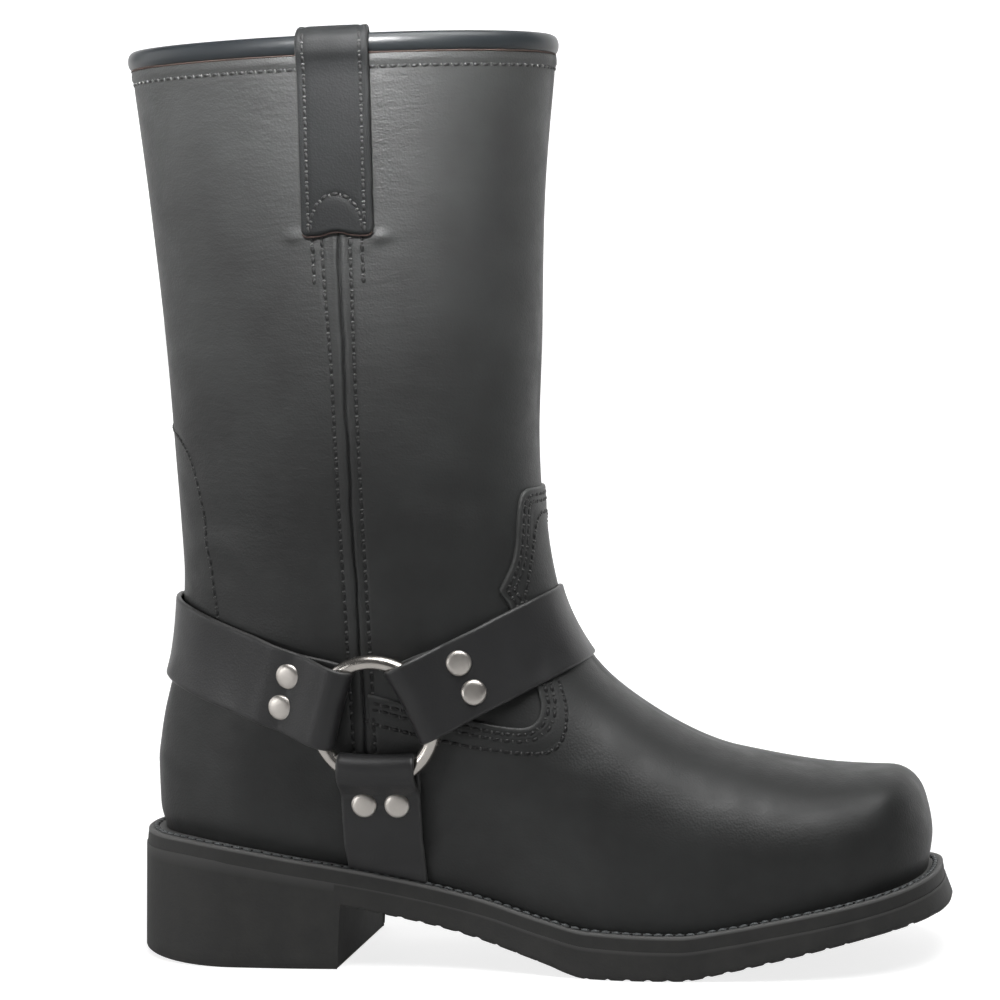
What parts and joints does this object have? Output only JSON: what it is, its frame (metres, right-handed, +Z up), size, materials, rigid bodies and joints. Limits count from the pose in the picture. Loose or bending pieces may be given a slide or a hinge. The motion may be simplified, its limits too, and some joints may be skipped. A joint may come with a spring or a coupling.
{
  "type": "biker harness boot",
  "caption": "Right pull-on biker boot in black oiled leather: tall shaft, squared toe, ankle ring harness with riveted straps, pull straps, welted rubber sole with block heel.",
  "frame": {"origin": "on the floor, under the middle of the boot's box in length and width", "axes": "+X toward the toe, +Y toward the medial side, +Z up the shaft"},
  "size_m": [0.318, 0.1196, 0.357],
  "materials": {
    "upper_leather": "oiled, satin",
    "strap_leather": "smooth, satin",
    "collar_leather": "glossy",
    "sole_rubber": "matte",
    "insole_leather": "matte",
    "nickel": "satin nickel plate"
  },
  "bodies": {
    "boot": {"upper": "upper_leather", "insole": "insole_leather", "welt": "sole_rubber", "outsole": "sole_rubber", "collar_bead": "collar_leather", "pull_strap_lateral": "strap_leather", "pull_strap_medial": "strap_leather", "strap_front": "strap_leather", "strap_back": "strap_leather", "strap_anchor_lateral": "strap_leather", "strap_anchor_medial": "strap_leather", "rivet_front_lateral_1": "nickel", "rivet_front_lateral_2": "nickel", "rivet_back_lateral_1": "nickel", "rivet_back_lateral_2": "nickel", "rivet_anchor_lateral_1": "nickel", "rivet_anchor_lateral_2": "nickel", "rivet_front_medial_1": "nickel", "rivet_front_medial_2": "nickel", "rivet_back_medial_1": "nickel", "rivet_back_medial_2": "nickel", "rivet_anchor_medial_1": "nickel", "rivet_anchor_medial_2": "nickel"},
    "ring_lateral": {"ring_lateral": "nickel"},
    "ring_medial": {"ring_medial": "nickel"}
  },
  "joints": [
    {"name": "ring_lateral_turn", "type": "hinge", "parent": "boot", "child": "ring_lateral", "pos_m": [-0.0516, -0.04619, 0.09757], "axis": [0.0008, -0.9948, -0.1023], "continuous": true},
    {"name": "ring_medial_turn", "type": "hinge", "parent": "boot", "child": "ring_medial", "pos_m": [-0.05222, 0.04153, 0.09758], "axis": [-0.0999, 0.99, -0.0993], "continuous": true}
  ]
}
